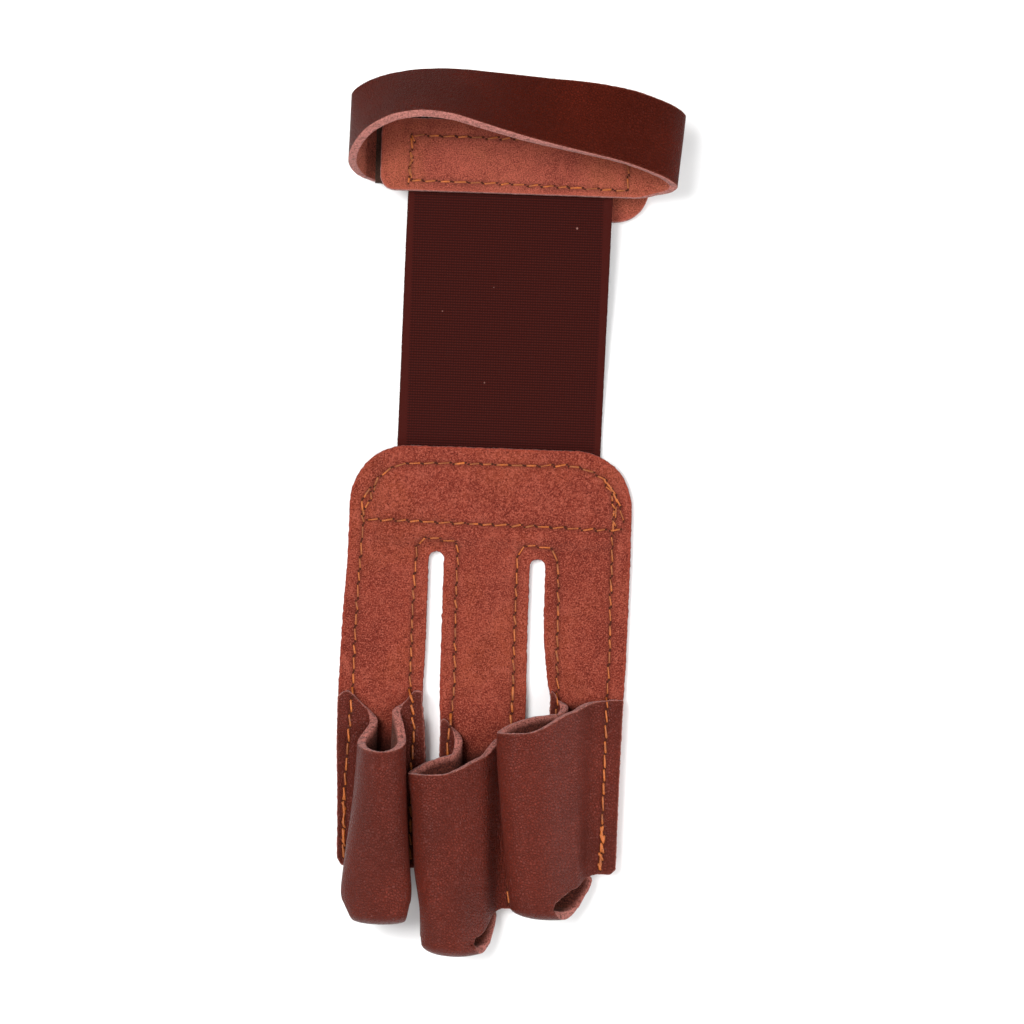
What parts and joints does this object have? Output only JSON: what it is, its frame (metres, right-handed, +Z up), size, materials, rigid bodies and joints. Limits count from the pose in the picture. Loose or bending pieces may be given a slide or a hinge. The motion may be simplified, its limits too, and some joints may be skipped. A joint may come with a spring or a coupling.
{
  "type": "archery glove",
  "caption": "Leather archery glove lying on its back: slotted hand panel with stitched finger stalls, elastic back band and a closed leather wrist strap.",
  "frame": {"origin": "on the hand panel's resting face, at the middle strip's centre line and level with the closed ends of the slots (the knuckle line)", "axes": "+X to the right as pictured, +Y along the glove towards the wrist strap, +Z up out of the table, on the side of the stalls"},
  "size_m": [0.0826, 0.2175, 0.0312],
  "materials": {
    "panel_leather": "suede side up, rust red, with orange stitching",
    "stall_leather": "smooth grain side out, satin, dark reddish brown",
    "strap_leather": "smooth grain outside, suede inside, pinkish cut edge",
    "elastic": "woven ribbed elastic, matt, very dark maroon",
    "hook_tape": "hook tape, matt greenish black",
    "loop_tape": "loop tape, matt greenish black"
  },
  "bodies": {
    "root": {"hand_panel": "panel_leather", "elastic_band": "elastic", "wrist_strap": "strap_leather", "hook_patch": "hook_tape", "loop_patch": "loop_tape", "left_stall": "stall_leather", "middle_stall": "stall_leather", "right_stall": "stall_leather"}
  },
  "joints": []
}
